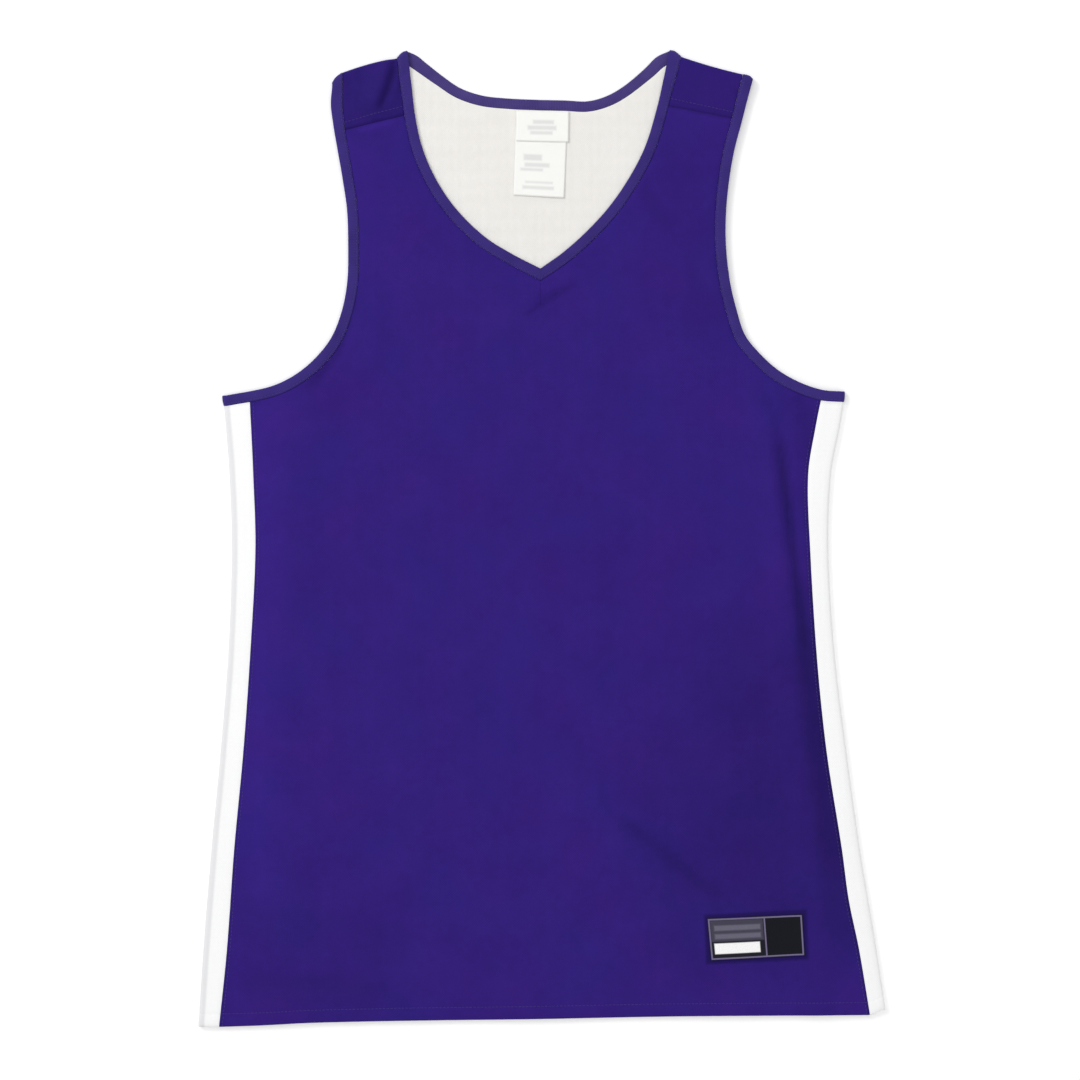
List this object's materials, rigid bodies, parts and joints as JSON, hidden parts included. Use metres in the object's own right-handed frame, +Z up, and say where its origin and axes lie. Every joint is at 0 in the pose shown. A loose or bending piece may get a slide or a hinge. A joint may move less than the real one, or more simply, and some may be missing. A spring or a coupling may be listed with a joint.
{
  "type": "basketball jersey",
  "caption": "Sleeveless V-neck basketball jersey laid flat on its back, with contrast side panels, bound neck and armholes, a light back lining, neck label and hem patch",
  "frame": {"origin": "centre of the bounding box on the surface the garment rests on", "axes": "+X towards the wearer's left (right of the picture), +Y from the hem to the neck, +Z up off the surface"},
  "size_m": [0.5298, 0.753, 0.0074],
  "materials": {
    "body_knit": "matte knit",
    "lining_knit": "matte knit",
    "side_knit": "matte knit",
    "binding_knit": "matte rib",
    "label_satin": "soft sheen",
    "patch_woven": "woven"
  },
  "bodies": {
    "root": {"front": "body_knit", "back": "body_knit", "back_lining": "lining_knit", "side_panel_right": "side_knit", "side_panel_left": "side_knit", "neck_binding": "binding_knit", "armhole_binding_right": "binding_knit", "armhole_binding_left": "binding_knit", "neck_label_long": "label_satin", "neck_label_short": "label_satin", "hem_patch": "patch_woven"}
  },
  "joints": []
}
